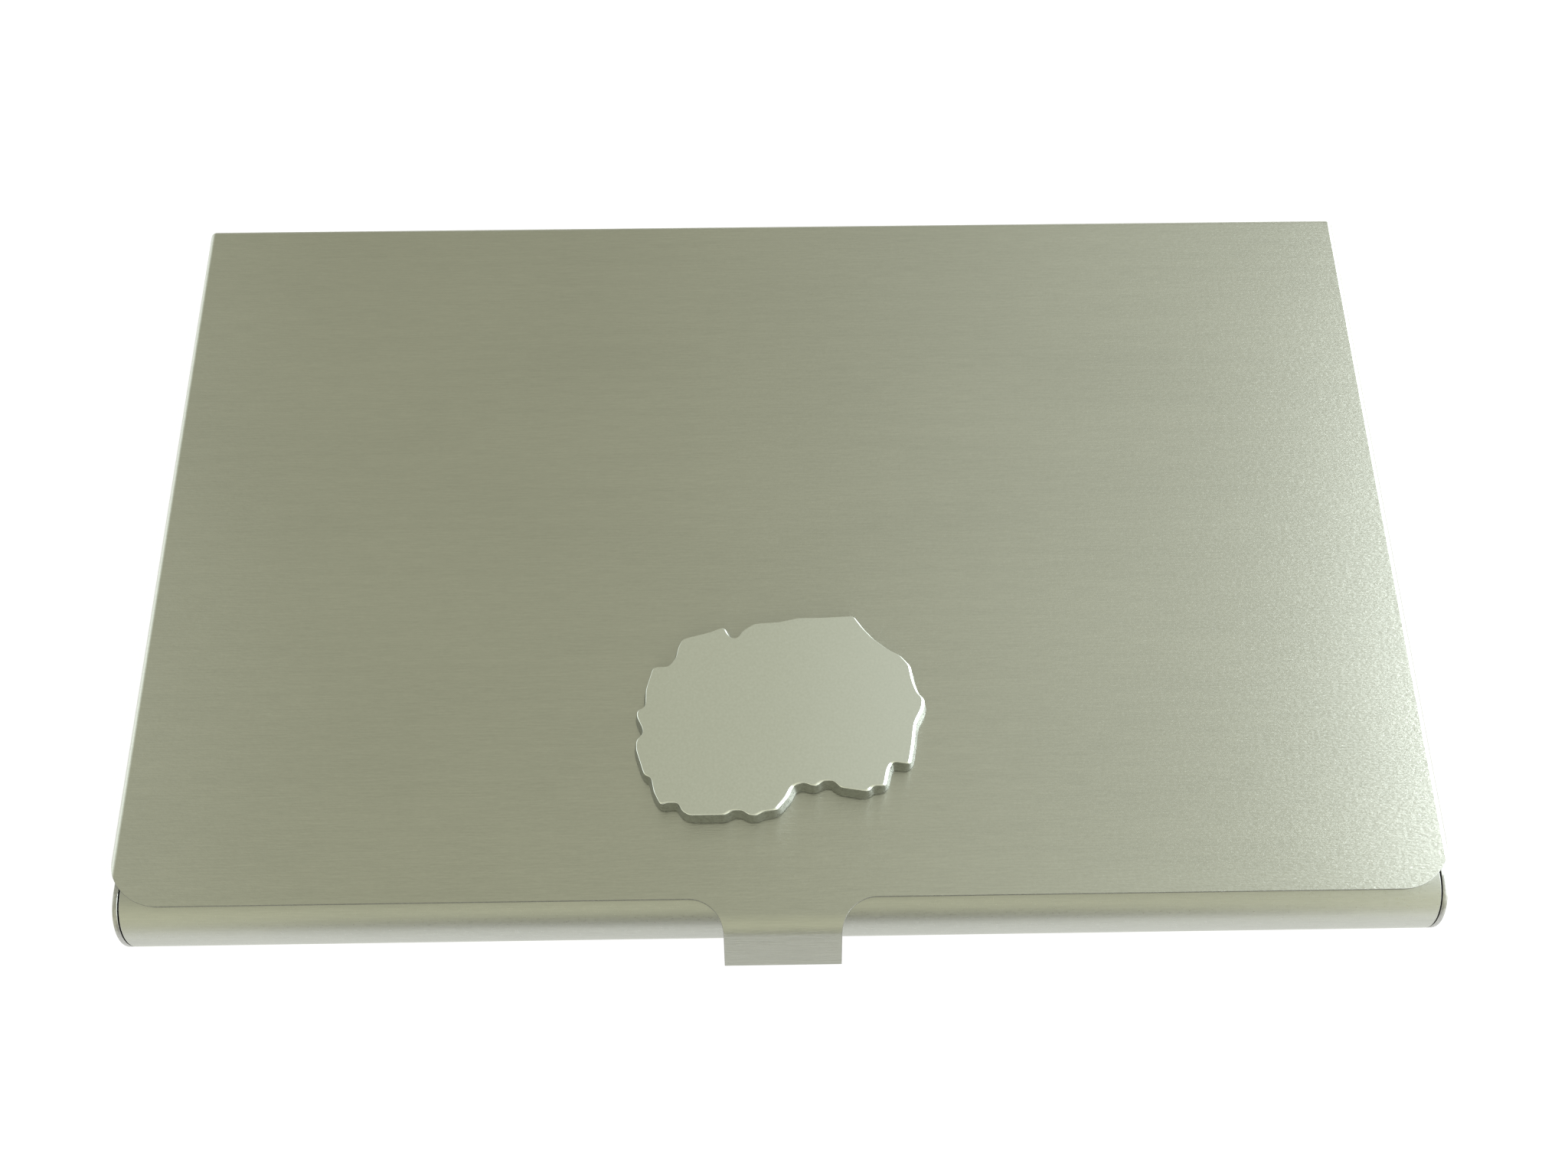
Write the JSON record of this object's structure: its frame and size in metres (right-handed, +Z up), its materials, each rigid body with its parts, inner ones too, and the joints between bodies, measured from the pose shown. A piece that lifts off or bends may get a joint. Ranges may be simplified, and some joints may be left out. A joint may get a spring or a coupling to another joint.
{
  "type": "business card case",
  "caption": "Slim hinged business card case of folded brushed steel with a rolled front edge, a thumb tab and a polished badge on the lid.",
  "frame": {"origin": "centre of the case's flat underside, midway between the front of the roll and the rear of the lid", "axes": "+X along the case's width to the right, +Y towards the hinge at the rear, +Z up through the lid; the case is closed at rest"},
  "size_m": [0.095, 0.0598, 0.0088],
  "materials": {
    "tray_steel": "brushed along the width, satin",
    "lid_steel": "brushed along the width, satin",
    "rivet_steel": "bright turned",
    "badge_metal": "polished nickel plate",
    "adhesive": "cured clear glue"
  },
  "bodies": {
    "tray": {"base_tray": "tray_steel", "hinge_rivet_left": "rivet_steel", "hinge_rivet_right": "rivet_steel"},
    "lid": {"lid": "lid_steel", "badge": "badge_metal", "badge_adhesive": "adhesive"}
  },
  "joints": [
    {"name": "lid_hinge", "type": "hinge", "parent": "tray", "child": "lid", "pos_m": [0, 0.02495, 0.0033], "axis": [-1, 0, 0], "range_deg": [0, 110]}
  ]
}
